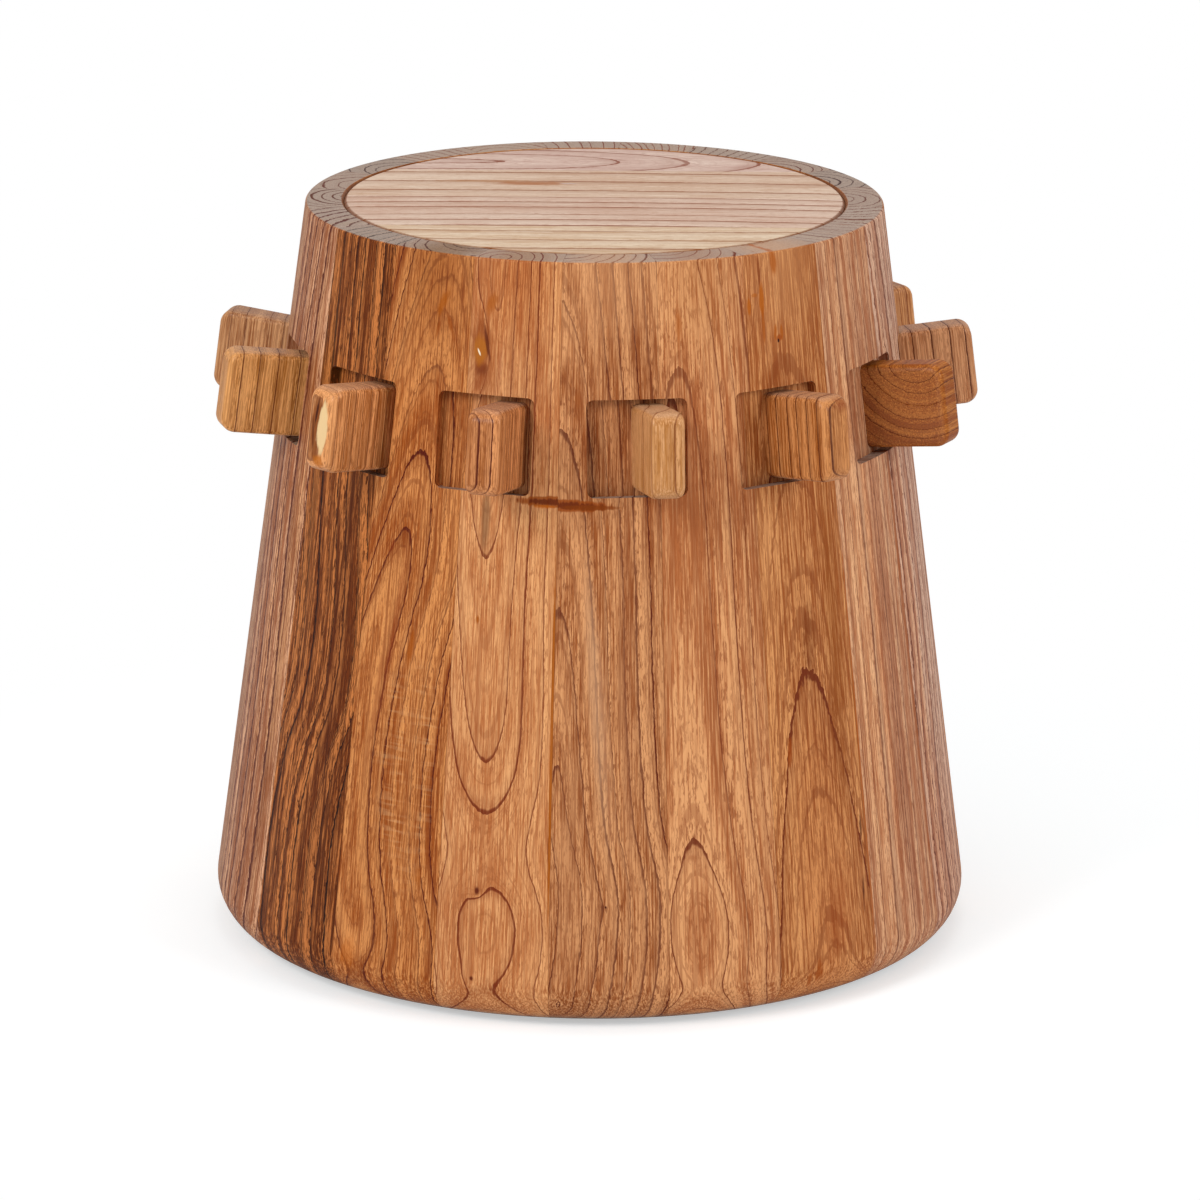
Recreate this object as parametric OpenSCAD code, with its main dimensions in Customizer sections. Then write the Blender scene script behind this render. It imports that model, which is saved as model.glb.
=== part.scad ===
// Wooden stool: a coopered, slightly conical drum with an inset round seat and a ring
// of short blocks, each one set in a shallow recess that is cut across the staves.
// Z is up and the floor is at 0, with the drum's axis at the origin. Angles are counted
// round the axis from the front, which faces -Y, towards the right, which is +X.

/* [Drum] */
// Height of the seat above the floor
seat_h = 450; // [400:1:520]
// Radius of the rim at the top
rim_r = 174; // [160:0.5:195]
// Radius that the straight side would reach at the floor, before the foot is rounded
skirt_r = 234.5; // [215:0.5:260]
// Rounding of the foot
foot_round = 25; // [15:0.5:32]
// Rounding of the outer edge of the rim
rim_round = 2; // [0.5:0.1:4]

/* [Staves] */
// Thickness of the staves, measured level
stave_t = 40; // [38:0.5:50]
// Width of each stave as it is sawn, in order from the one left of the front
stave_widths = [76, 74, 71, 73, 72, 74, 76, 75, 79, 73,
                70, 77, 68, 68, 71, 72, 72, 72, 79, 78];
// Angle of the first joint between staves
first_joint = -60; // [-70:0.5:-55]

/* [Seat] */
// Thickness of the seat boards
seat_t = 25; // [16:0.5:32]
// Width of the rim that shows round the seat
rim_w = 23; // [16:0.5:26]
// Width of each seat board as it is glued up, from the front one to the rear one
board_widths = [74, 82, 78, 68];
// Bevel on each side of the groove between the seat and the rim
groove_bevel = 1.5; // [0.5:0.1:3]
// Gap all round between the seat and the rim, below the bevels
seat_gap = 0.3; // [0.1:0.05:0.8]

/* [Base] */
// Thickness of the board that closes the drum at the bottom
base_t = 18; // [12:0.5:24]
// Width of the rebate that holds the base board
base_lip = 5; // [3:0.5:6]
// Gap all round the base board
base_gap = 0.3; // [0.1:0.05:0.8]
// Number of felt glides
glide_n = 6; // [3:1:12]
// Radius of a felt glide
glide_r = 15; // [8:0.5:20]
// Thickness of a felt glide
glide_t = 2; // [1.5:0.1:4]
// Distance from the edge of the base board to the glides
glide_inset = 12; // [5:0.5:30]

/* [Recesses] */
// Width of a recess
recess_w = 59; // [54:0.5:66]
// Height of a recess along the side
recess_h = 57; // [54:0.5:64]
// Height of the recess centres above the floor
recess_z = 343; // [260:1:370]
// Depth of a recess in the middle
recess_d = 9; // [4:0.5:10]
// Corner radius of a recess, as the cutter leaves it
recess_corner = 4; // [2:0.5:8]
// Angle of the recess nearest the front
first_recess = 8; // [0:0.5:14]

/* [Blocks] */
// Width of a block
block_w = 20.5; // [18:0.5:24]
// Height of a block
block_h = 50; // [40:0.5:52]
// How far a block stands out from the side
block_out = 44; // [25:0.5:60]
// Radius of the nose, which is the top and bottom corner of the outer end
block_nose = 8.5; // [4:0.5:14]
// Radius of the other edges
block_edge = 4; // [1:0.5:5]
// Hand-set place of each block: its angle right of the recess centre, and its own turn
block_sets = [[2.6, 4], [1.7, 4], [3.5, -1.5], [3.35, 0], [3.65, 2], [3, -2], [3.8, 3], [2.75, 0],
              [3.65, -3], [3.5, 1], [3.2, 2.5], [3.85, 6.5], [4.25, 2.5]];

/* [Tenons] */
// Thickness of the tenon on the back of a block
tenon_w = 11; // [8:0.5:15]
// Height of the tenon
tenon_h = 34; // [24:0.5:38]
// Length of the tenon
tenon_l = 20; // [10:0.5:22]
// Room for glue round the tenon
tenon_fit = 0.15; // [0.05:0.05:0.4]
// Room for glue at the end of the mortise
mortise_end = 1; // [0.5:0.1:2]

/* [Hidden] */
function two_digits(n) = n < 10 ? str("0", n) : str(n);
$fn = 120;

// Overshoot of a cut beyond the surface that it opens
over = 5;

// The side of the drum: its lean, and its radius at a height z
lean = atan((skirt_r - rim_r) / seat_h);
function side_r(z) = skirt_r - (skirt_r - rim_r) * z / seat_h;
function sum(list, n, i = 0) = i >= n ? 0 : list[i] + sum(list, n, i + 1);

// Heights and radii that the staves, the seat and the base board share
under_z = glide_t;
ledge_z = seat_h - seat_t;
base_top_z = under_z + base_t;
well_r = rim_r - rim_w;
seat_r = well_r - seat_gap;
base_well_r = side_r(base_top_z) - stave_t + base_lip;
base_r = base_well_r - base_gap;
glide_ring_r = base_r - glide_inset - glide_r;

// Angles of the joints between staves
stave_n = len(stave_widths);
stave_sum = sum(stave_widths, stave_n);
function joint_angle(i) = first_joint + 360 * sum(stave_widths, i) / stave_sum;

// Lines between the seat boards, scaled so that they always span the seat
board_n = len(board_widths);
function board_line(i) = -seat_r + 2 * seat_r * sum(board_widths, i) / sum(board_widths, board_n);

// Recesses and blocks, and the angle that a recess takes up
recess_n = len(block_sets);
function recess_angle(k) = first_recess + 360 * k / recess_n;
recess_half_angle = asin((recess_w / 2 + 1) / side_r(recess_z));
function apart(a, b) = abs((a - b + 900) % 360 - 180);

// Centre of a circle of radius r that touches the sloping side, at a height z
function side_centre(r, z) = [side_r(z) - r / cos(lean), z];
foot_c = side_centre(foot_round, under_z + foot_round);
rim_c = side_centre(rim_round, seat_h - rim_round);

// The corner that a circle rounds, from the level face at z to the sloping side
module rounded_corner(c, r, z) {
    intersection() {
        translate(c) circle(r);
        polygon([c, [c[0], z], [side_r(z), z], c + r * [cos(lean), sin(lean)]]);
    }
}

// Cross-section of a stave, with the seat's rebate at the top and the base's below
module stave_section() {
    rounded_corner(foot_c, foot_round, under_z);
    rounded_corner(rim_c, rim_round, seat_h);
    polygon([
        [foot_c[0], under_z],
        foot_c,
        foot_c + foot_round * [cos(lean), sin(lean)],
        rim_c + rim_round * [cos(lean), sin(lean)],
        rim_c,
        [rim_c[0], seat_h],
        [well_r + groove_bevel, seat_h],
        [well_r, seat_h - groove_bevel],
        [well_r, ledge_z],
        [side_r(ledge_z) - stave_t, ledge_z],
        [side_r(base_top_z) - stave_t, base_top_z],
        [base_well_r, base_top_z],
        [base_well_r, under_z]
    ]);
}

// A rectangle with round corners
module round_rect(w, h, r) {
    square([w - 2 * r, h], center = true);
    square([w, h - 2 * r], center = true);
    for (x = [-1, 1], y = [-1, 1])
        translate([x * (w / 2 - r), y * (h / 2 - r)]) circle(r);
}

// A flat section stood upright and drawn out inwards (+Y) from y = from to y = to
module drawn_in(from, to) {
    translate([0, to, 0])
        rotate([90, 0, 0])
            linear_extrude(to - from) children();
}

// The tenon with room all round, round at its ends as a router leaves the mortise
module tenon_bar(room, from, to) {
    w = tenon_w + 2 * room;
    drawn_in(from, to) {
        square([w, tenon_h - tenon_w], center = true);
        for (y = [-1, 1]) translate([0, y * (tenon_h - tenon_w) / 2]) circle(w / 2);
    }
}

// Frame of recess k: X runs to the right, -Y stands square out of the side, Z up along it
module at_recess(k) {
    rotate([0, 0, recess_angle(k)])
        translate([0, -side_r(recess_z), recess_z])
            rotate([-lean, 0, 0])
                children();
}

// Place of block k in its recess
module at_block(k) {
    translate([side_r(recess_z) * tan(block_sets[k][0]), 0, 0])
        rotate([0, 0, block_sets[k][1]])
            children();
}

// What is cut away for block k: the recess and the mortise in its floor
module recess_cut(k) {
    at_recess(k) {
        drawn_in(-over, recess_d) round_rect(recess_w, recess_h, recess_corner);
        at_block(k) tenon_bar(tenon_fit, recess_d - over, recess_d + tenon_l + mortise_end);
    }
}

// One stave, numbered from 0, with every recess that reaches it
module stave(i) {
    from = joint_angle(i);
    to = joint_angle(i + 1);
    color(i % 3 == 0 ? "peru" : i % 3 == 1 ? "burlywood" : "tan")
        difference() {
            rotate([0, 0, from - 90])
                rotate_extrude(angle = to - from) stave_section();
            for (k = [0 : recess_n - 1])
                if (apart(recess_angle(k), (from + to) / 2) < (to - from) / 2 + recess_half_angle)
                    recess_cut(k);
        }
}

// The solid of a block before its back is cut to the floor of the recess
module block_blank() {
    back = recess_d + block_w / 2;
    length = block_out + back;
    intersection() {
        // Side view, with the two round corners of the nose
        translate([-block_w / 2, 0, 0])
            rotate([90, 0, 90])
                linear_extrude(block_w) {
                    translate([(back - block_out) / 2, 0])
                        round_rect(length, block_h, block_nose);
                    translate([back - length / 2, -block_h / 2]) square([length / 2, block_h]);
                }
        // Plan, with its two outer edges eased
        translate([0, 0, -block_h / 2])
            linear_extrude(block_h) {
                translate([0, (back - block_out) / 2]) round_rect(block_w, length, block_edge);
                translate([-block_w / 2, back - length / 2]) square([block_w, length / 2]);
            }
        // View from the front, with the four long edges eased
        drawn_in(-block_out, back) round_rect(block_w, block_h, block_edge);
    }
}

// One block, numbered from 0, with the tenon on its back
module block(k) {
    color(k % 2 == 0 ? "sandybrown" : "burlywood")
        at_recess(k) {
            difference() {
                at_block(k) block_blank();
                translate([-recess_w, recess_d, -recess_h])
                    cube([2 * recess_w, block_w + recess_d, 2 * recess_h]);
            }
            at_block(k) tenon_bar(0, recess_d - over, recess_d + tenon_l);
        }
}

// One seat board, numbered from 0 at the front, cut from the round of the glued seat
module seat_board(i) {
    color(i % 2 == 0 ? "wheat" : "bisque")
        intersection() {
            rotate_extrude()
                polygon([[0, ledge_z], [seat_r, ledge_z], [seat_r, seat_h - groove_bevel],
                         [seat_r - groove_bevel, seat_h], [0, seat_h]]);
            translate([-seat_r - over, board_line(i), ledge_z - over])
                cube([2 * (seat_r + over), board_line(i + 1) - board_line(i), seat_t + 2 * over]);
        }
}

// The board that closes the drum, flush with the feet of the staves
module base_board() {
    color("burlywood")
        translate([0, 0, under_z]) cylinder(h = base_t, r = base_r);
}

// The felt glides that the stool stands on
module felt_glides() {
    color("saddlebrown")
        for (g = [0 : glide_n - 1])
            rotate([0, 0, 360 * g / glide_n])
                translate([0, -glide_ring_r, 0]) cylinder(h = glide_t, r = glide_r);
}

for (i = [0 : stave_n - 1])
    stave(i);
for (k = [0 : recess_n - 1])
    block(k);
for (i = [0 : board_n - 1])
    seat_board(i);
base_board();
felt_glides();
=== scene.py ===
import bmesh, bpy, math, random
from mathutils import Euler, Matrix, Vector


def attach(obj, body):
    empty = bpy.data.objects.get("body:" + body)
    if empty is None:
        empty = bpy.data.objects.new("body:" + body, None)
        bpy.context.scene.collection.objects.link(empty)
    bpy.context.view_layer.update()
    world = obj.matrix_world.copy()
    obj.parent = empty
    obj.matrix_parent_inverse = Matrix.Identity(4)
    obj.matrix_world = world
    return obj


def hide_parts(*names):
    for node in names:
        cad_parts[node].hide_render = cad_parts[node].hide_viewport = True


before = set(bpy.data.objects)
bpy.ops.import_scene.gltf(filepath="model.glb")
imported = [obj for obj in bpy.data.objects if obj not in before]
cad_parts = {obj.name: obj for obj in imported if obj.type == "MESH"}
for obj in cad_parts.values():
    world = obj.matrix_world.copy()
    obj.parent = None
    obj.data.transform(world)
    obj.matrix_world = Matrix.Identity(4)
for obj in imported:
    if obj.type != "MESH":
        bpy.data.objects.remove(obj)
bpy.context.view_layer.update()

# --- Staves --------------------------------------------------------------------------------
# Twenty upright boards, bevelled and glued edge to edge into a hollow cone, then turned: a
# rounded foot, a rebate for the base board and a rebate for the seat. Thirteen shallow
# recesses, each with a mortise in its floor, are cut across them after the glue has set.
SEAT_H, RIM_R, SKIRT_R = 0.450, 0.174, 0.2345
WALL, FOOT, RIM_EDGE = 0.040, 0.025, 0.002
WIDTHS = [76, 74, 71, 73, 72, 74, 76, 75, 79, 73, 70, 77, 68, 68, 71, 72, 72, 72, 79, 78]
JOINTS = [math.radians(-60 + 360 * sum(WIDTHS[:i]) / sum(WIDTHS)) for i in range(len(WIDTHS) + 1)]
UNDER, SEAT_T, RIM_W, GROOVE = 0.002, 0.025, 0.023, 0.0015
BASE_T, BASE_LIP = 0.018, 0.005
LEAN = math.atan((SKIRT_R - RIM_R) / SEAT_H)
RECESS_W, RECESS_H, RECESS_Z, RECESS_D, RECESS_CORNER = 0.059, 0.057, 0.343, 0.009, 0.004
FIRST_RECESS = math.radians(8)
# How far each block is set aside of the middle of its recess, and how far it is turned, in degrees.
BLOCKS = [(2.6, 4), (1.7, 4), (3.5, -1.5), (3.35, 0), (3.65, 2), (3, -2), (3.8, 3), (2.75, 0),
          (3.65, -3), (3.5, 1), (3.2, 2.5), (3.85, 6.5), (4.25, 2.5)]
TENON_W, TENON_H, TENON_L = 0.011, 0.034, 0.020
FIT, OVER_CUT, MORTISE_SPARE = 0.00015, 0.005, 0.001
ROUND_END = 0.4999  # the corner of a round end, as a share of its width


def side_r(z):
    return SKIRT_R - (SKIRT_R - RIM_R) * z / SEAT_H


def recess_place(k):
    """Where recess k lies: x to the right, y into the wood, z up along the side."""
    turn = Matrix.Rotation(FIRST_RECESS + 2 * math.pi * k / len(BLOCKS), 4, "Z")
    return turn @ Matrix.Translation((0, -side_r(RECESS_Z), RECESS_Z)) @ Matrix.Rotation(-LEAN, 4, "X")


def block_set(k):
    """How block k is set in its recess: how far aside, in metres, and how far turned."""
    aside, turn = BLOCKS[k]
    return side_r(RECESS_Z) * math.tan(math.radians(aside)), math.radians(turn)


class Bench:
    """Lays nodes out in a tree. Each feed is a value or the socket that it comes from."""

    def __init__(self, tree):
        self.tree, self.n = tree, 0

    def add(self, kind, *feeds, out=0, **settings):
        node = self.tree.nodes.new(kind)
        node.location = (self.n % 12 * 190, -(self.n // 12) * 260)  # twelve nodes to a row
        self.n += 1
        for name, value in settings.items():
            setattr(node, name, value)
        for i, feed in enumerate(feeds):
            self.put(node.inputs[i], feed)
        return node.outputs[out] if out is not None else node

    def put(self, socket, feed):
        if isinstance(feed, bpy.types.NodeSocket):
            self.tree.links.new(feed, socket)
        elif feed is not None:
            socket.default_value = feed

    def math(self, what, *feeds):
        return self.add("ShaderNodeMath", *feeds, operation=what)

    def times(self, a, b):
        return self.math("MULTIPLY", a, b)

    def plus(self, a, b):
        return self.math("ADD", a, b)

    def less(self, a, b):
        return self.math("SUBTRACT", a, b)

    def xyz(self, x, y, z):
        return self.add("ShaderNodeCombineXYZ", x, y, z)

    def split(self, vector):
        return self.add("ShaderNodeSeparateXYZ", vector, out=None).outputs

    def dot(self, a, b):
        return self.add("ShaderNodeVectorMath", a, b, operation="DOT_PRODUCT", out=1)

    def length(self, x, y):
        return self.math("SQRT", self.math("MULTIPLY_ADD", x, x, self.times(y, y)))

    def ramp(self, value, low, high, to_low=0.0, to_high=1.0):
        return self.add("ShaderNodeMapRange", value, low, high, to_low, to_high,
                        interpolation_type="SMOOTHSTEP")

    def tint(self, share, a, b, way="MIX"):
        node = self.add("ShaderNodeMix", out=None, data_type="RGBA", blend_type=way)
        for i, feed in ((0, share), (6, a), (7, b)):
            self.put(node.inputs[i], feed)
        return node.outputs[2]

    def noise(self, vector, scale, detail=2.0, rough=0.5):
        """Noise with this many waves to the metre along x, y and z: few of them lie along
        the grain, so it is drawn out that way."""
        spread = self.add("ShaderNodeVectorMath", vector, scale, operation="MULTIPLY")
        return self.add("ShaderNodeTexNoise", spread, None, 1.0, detail, rough)


def group(name, takes, gives):
    """A new shader node group: its bench, the sockets that it takes, and its end."""
    tree = bpy.data.node_groups.new(name, "ShaderNodeTree")
    for names, way in ((takes, "INPUT"), (gives, "OUTPUT")):
        for label, kind in names.items():
            tree.interface.new_socket(label, in_out=way, socket_type="NodeSocket" + kind)
    bench = Bench(tree)
    taken = bench.add("NodeGroupInput", out=None).outputs
    return bench, [taken[i] for i in range(len(takes))], bench.add("NodeGroupOutput", out=None)


def rgb(text):
    """A colour written as it is seen, as the shader wants it: less the shine laid over it."""
    parts = [int(text[i:i + 2], 16) / 255 for i in (0, 2, 4)]
    parts = [p / 12.92 if p <= 0.04045 else ((p + 0.055) / 1.055) ** 2.4 for p in parts]
    return tuple(max(p - 0.010, 0.001) for p in parts) + (1.0,)


def make_sawn_wood():
    """Growth rings round a pith that runs along z, cut by the surface. The early wood after
    each ring line has open pores, and fine fibres run along the grain."""
    b, taken, out = group("sawn wood", {
        "Vector": "Vector", "Pith Across": "Float", "Pith Depth": "Float", "Swell": "Float",
        "Ring Width": "Float", "Wander": "Float", "Seed": "Float", "Pale": "Color",
        "Deep": "Color", "Line": "Color", "Line Width": "Float", "Line Strength": "Float",
        "Pores": "Float", "Streaks": "Float", "End Grain": "Float", "Shift": "Float"},
        {"Color": "Color", "Roughness": "Float", "Height": "Float"})
    vector, across, depth, swell, width, wander, seed, pale, deep, line = taken[:10]
    line_w, line_s, pores, streaks, end, shift = taken[10:]
    moved = b.add("ShaderNodeVectorMath", vector, b.xyz(seed, b.times(seed, 1.7), b.times(seed, 2.3)),
                  operation="ADD")
    long_wave = b.noise(moved, (26, 26, 4.5), 2.0)
    short_wave = b.noise(moved, (95, 95, 17), 3.0)
    jag = b.noise(moved, (420, 420, 190), 1.0)
    fibre = b.noise(moved, (1150, 1150, 34), 3.0, 0.62)
    hair = b.noise(moved, (760, 760, 12), 1.0)
    dash = b.noise(moved, (1050, 1050, 170), 2.0, 0.6)
    cloud = b.noise(moved, (17, 17, 5.0), 2.0, 0.55)
    blotch = b.noise(moved, (60, 60, 17), 3.0, 0.55)

    # The distance to the pith, with waves in it, makes the rings. They waver less where the
    # saw has cut along them, because there a small shift would show as a wide one.
    place = b.split(vector)
    dx, dy = b.less(place[0], across), b.less(place[1], depth)
    flat = b.length(dx, dy)
    square_on = b.math("MAXIMUM", b.math("DIVIDE", b.math("ABSOLUTE", dx), flat), 0.45)
    square_on = b.math("MAXIMUM", square_on, end)
    small = b.math("MULTIPLY_ADD", b.less(short_wave, 0.5), b.times(wander, 0.8),
                   b.times(b.less(jag, 0.5), wander))
    wobble = b.math("MULTIPLY_ADD", small, square_on,
                    b.times(wander, b.math("MULTIPLY_ADD", long_wave, 2.0, -1.0)))
    radius = b.plus(flat, b.plus(wobble, swell))
    count = b.math("DIVIDE", radius, width)

    def by_radius(size, offset, detail):
        return b.add("ShaderNodeTexNoise", None, b.plus(size, offset), 1.0, detail, 0.6,
                     noise_dimensions="1D")

    years = by_radius(b.times(count, 0.62), seed, 1.0)
    bands = by_radius(b.times(count, 1.15), b.times(seed, 3.1), 1.0)
    fine = by_radius(b.times(radius, 760.0), b.times(seed, 1.9), 2.0)
    uneven = b.times(b.less(years, 0.5), b.math("MINIMUM", b.math("DIVIDE", 0.006, width), 0.8))
    count = b.plus(b.plus(count, uneven), shift)
    phase = b.math("FRACT", count)
    luck = b.add("ShaderNodeTexWhiteNoise", None, b.plus(b.math("FLOOR", count), seed),
                 noise_dimensions="1D")

    # Each ring ends in a dark line of late wood, and pores open after it.
    to_line, past_line = b.times(b.less(1.0, phase), width), b.times(phase, width)
    line_w = b.times(line_w, square_on)
    strength = b.times(line_s, b.math("MULTIPLY_ADD", luck, 0.55, 0.55))
    late = b.times(b.ramp(to_line, b.times(line_w, 0.4), line_w, 1.0, 0.0),
                   b.ramp(past_line, 0.0, 0.0002))
    halo = b.times(b.ramp(to_line, 0.0, b.times(line_w, 5.0), 1.0, 0.0), 0.25)
    broken = b.ramp(fibre, 0.25, 0.5, 0.75, 1.0)
    mark = b.times(b.times(strength, broken), b.math("MAXIMUM", late, halo))
    thread = b.times(b.math("MAXIMUM", b.ramp(fine, 0.55, 0.68), b.ramp(hair, 0.57, 0.68)),
                     b.times(streaks, 0.55))
    early = b.ramp(past_line, 0.0, 0.005, 1.0, 0.55)
    open_pore = b.times(b.times(b.ramp(dash, 0.50, 0.62), early), b.times(pores, 1.3))

    # The tone between pale and deep, then threads and pores, ring lines and end grain.
    share = b.math("MULTIPLY_ADD", b.less(bands, 0.5), b.times(streaks, 2.2), 0.43)
    for tone, weight in ((fibre, 4.8), (cloud, 1.8), (blotch, 1.0)):
        share = b.math("MULTIPLY_ADD", b.less(tone, 0.5), weight, share)
    colour = b.tint(b.ramp(share, -0.25, 1.25), pale, deep)
    rust = b.tint(0.5, deep, line)
    colour = b.tint(b.math("MAXIMUM", open_pore, thread), colour, rust)
    colour = b.tint(b.math("MINIMUM", mark, 0.95), colour, line)
    # End grain is toned greyer: partly its own duller look, partly a painted sheen of light glancing off
    # end-grain faces such as the rim.
    end_grey_and_sheen = b.tint(0.85, colour, rgb("aa9a8e"))
    end_grey_and_sheen = b.tint(b.times(b.math("MAXIMUM", late, b.times(open_pore, 0.5)), 0.95), end_grey_and_sheen, line)
    b.put(out.inputs[0], b.tint(end, colour, end_grey_and_sheen))
    rough = b.math("MULTIPLY_ADD", fibre, 0.2, 0.36)
    b.put(out.inputs[1], b.plus(rough, b.times(b.plus(open_pore, end), 0.14)))
    height = b.math("MULTIPLY_ADD", fibre, 0.4, b.times(open_pore, -1.0))
    b.put(out.inputs[2], b.less(height, b.times(mark, 0.5)))
    return b.tree


def make_mark():
    """A knot, stain or patch: a ragged oval, at a place on the board."""
    b, taken, out = group("mark in the wood", {
        "Vector": "Vector", "Across": "Float", "Up": "Float", "Half Width": "Float",
        "Half Length": "Float", "Slant": "Float", "Ragged": "Float", "Soft": "Float"},
        {"Mask": "Float", "Near": "Float"})
    vector, across, up, half_w, half_l, slant, ragged, soft = taken
    place = b.split(vector)
    dz = b.less(place[2], up)
    dx = b.less(place[0], b.math("MULTIPLY_ADD", dz, slant, across))
    far = b.length(b.math("DIVIDE", dx, half_w), b.math("DIVIDE", dz, half_l))
    rag = b.noise(vector, (310, 310, 90), 3.0, 0.6)
    edge = b.math("MULTIPLY_ADD", b.less(rag, 0.5), ragged, far)
    b.put(out.inputs[0], b.ramp(edge, b.less(1.0, soft), 1.0, 1.0, 0.0))
    b.put(out.inputs[1], b.math("EXPONENT", b.times(b.times(far, far), -0.5)))
    return b.tree


def make_round_the_drum():
    """Turns a point of the drum, with its stave brought to the front, into a place on the
    board: across its face, into the wood and up. Also the distance to the nearer glue joint."""
    b, (vector, half_sweep), out = group(
        "board round the drum", {"Vector": "Vector", "Half Sweep": "Float"},
        {"Vector": "Vector", "To Joint": "Float", "Radius": "Float"})
    place = b.split(vector)
    turn = b.math("ARCTAN2", place[0], b.times(place[1], -1.0))
    out_r = b.length(place[0], place[1])
    face_r = b.math("MULTIPLY_ADD", place[2], -(SKIRT_R - RIM_R) / SEAT_H, SKIRT_R)
    b.put(out.inputs[0], b.xyz(b.times(turn, side_r(SEAT_H / 2)), b.less(face_r, out_r), place[2]))
    b.put(out.inputs[1], b.times(out_r, b.less(half_sweep, b.math("ABSOLUTE", turn))))
    b.put(out.inputs[2], out_r)
    return b.tree


def make_ripple():
    """Curly figure: short waves across the grain that catch the light in bands."""
    b, (vector, mask), out = group("ripple figure", {"Vector": "Vector", "Mask": "Float"},
                                   {"Shade": "Float"})
    band = b.noise(vector, (38, 38, 330), 2.0, 0.45)
    patchy = b.ramp(b.noise(vector, (60, 60, 30), 2.0), 0.35, 0.65)
    b.put(out.inputs[0], b.times(b.times(b.ramp(band, 0.36, 0.64, -1.0, 1.0), patchy), mask))
    return b.tree


def make_dark_line():
    """Glue in a joint, painted shade in a groove, or a painted contact shadow along an edge: dark as far as
    one distance from it, and gone at another."""
    b, (colour, distance, dark_to, gone_at, share, tone), out = group("dark line", {
        "Color": "Color", "Distance": "Float", "Dark To": "Float", "Gone At": "Float",
        "Share": "Float", "Tone": "Color"}, {"Color": "Color"})
    mask = b.times(b.ramp(distance, dark_to, gone_at, 1.0, 0.0), share)
    b.put(out.inputs[0], b.tint(mask, colour, tone))
    return b.tree


def make_end_grain():
    """How far the surface is cut across the grain, from the way that it faces."""
    b, (normal, grain, start, full, most), out = group("end grain", {
        "Normal": "Vector", "Grain": "Vector", "Start": "Float", "Full": "Float", "Most": "Float"},
        {"Mask": "Float"})
    facing = b.math("ABSOLUTE", b.dot(normal, grain))
    b.put(out.inputs[0], b.ramp(facing, start, full, 0.0, most))
    return b.tree


SAWN_WOOD, MARK, DRUM, RIPPLE = make_sawn_wood(), make_mark(), make_round_the_drum(), make_ripple()
DARK_LINE, END_GRAIN = make_dark_line(), make_end_grain()


def use(bench, tree, **feeds):
    """Places a node group, and feeds its inputs by their names."""
    node = bench.add("ShaderNodeGroup", out=None, node_tree=tree)
    for name, feed in feeds.items():
        bench.put(node.inputs[name.replace("_", " ")], feed)
    return node.outputs


def bare(owner):
    """A bench on the emptied nodes of a material or of the world."""
    owner.use_nodes = True
    owner.node_tree.nodes.clear()
    return Bench(owner.node_tree)


def along(bench, up, pairs, low, high):
    """A size that changes with height: a smooth curve through (height, size) pairs in mm."""
    if len(pairs) == 1:
        return pairs[0][1] / 1000
    node = bench.add("ShaderNodeFloatCurve", 1.0, bench.math("DIVIDE", up, SEAT_H), out=None)
    points = node.mapping.curves[0].points
    spots = [(h / (SEAT_H * 1000), (size - low) / (high - low)) for h, size in sorted(pairs)]
    points[0].location, points[1].location = spots[0], spots[-1]
    for spot in spots[1:-1]:
        points.new(*spot)
    node.mapping.update()
    return bench.math("MULTIPLY_ADD", node.outputs[0], (high - low) / 1000, low / 1000)


def sawn(bench, look, place, end, across, depth, swell=0.0):
    """The board's own wood, from its look. Its sizes are in mm."""
    pale, deep, line = (rgb(c) for c in look["tones"])
    return use(bench, SAWN_WOOD, Vector=place, Pith_Across=across, Pith_Depth=depth, Swell=swell,
               Ring_Width=look["ring"] / 1000, Wander=look["wander"] / 1000, Seed=look["seed"],
               Pale=pale, Deep=deep, Line=line, Line_Width=look["line"] / 1000,
               Line_Strength=look["bold"], Pores=look["pores"], Streaks=look["streaks"],
               End_Grain=end, Shift=look.get("shift", 0.0))


def mark_at(bench, place, across, up, half_w, half_l, **more):
    """A mark's mask, and how near its middle is. Its place and sizes are in mm."""
    return use(bench, MARK, Vector=place, Across=across / 1000, Up=up / 1000,
               Half_Width=half_w / 1000, Half_Length=half_l / 1000, **more)


def add_marks(bench, place, colour, marks, way="MIX"):
    """Lays marks over the wood, or washes, which filter its colour."""
    for across, up, half_w, half_l, slant, ragged, soft, share, tone in marks:
        mask = mark_at(bench, place, across, up, half_w, half_l, Slant=slant, Ragged=ragged,
                       Soft=soft)[0]
        tone = rgb(tone) if way == "MIX" else tone + (1.0,)
        colour = bench.tint(bench.times(mask, share), colour, tone, way)
    return colour


def oiled(bench, colour, rough, height, sheen=0.03):
    """The oiled finish: satin, a little glossier on the long grain than on the open pores and end grain."""
    bump = bench.add("ShaderNodeBump", out=None)
    for socket, feed in (("Strength", 0.4), ("Distance", 0.0003), ("Height", height)):
        bench.put(bump.inputs[socket], feed)
    shader = bench.add("ShaderNodeBsdfPrincipled", out=None)
    for socket, feed in (("Base Color", colour), ("Roughness", rough), ("Coat Weight", sheen),
                         ("Coat Roughness", 0.25), ("Specular IOR Level", 0.1),
                         ("Normal", bump.outputs[0])):
        bench.put(shader.inputs[socket], feed)
    bench.put(bench.add("ShaderNodeOutputMaterial", out=None).inputs[0], shader.outputs[0])


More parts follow.
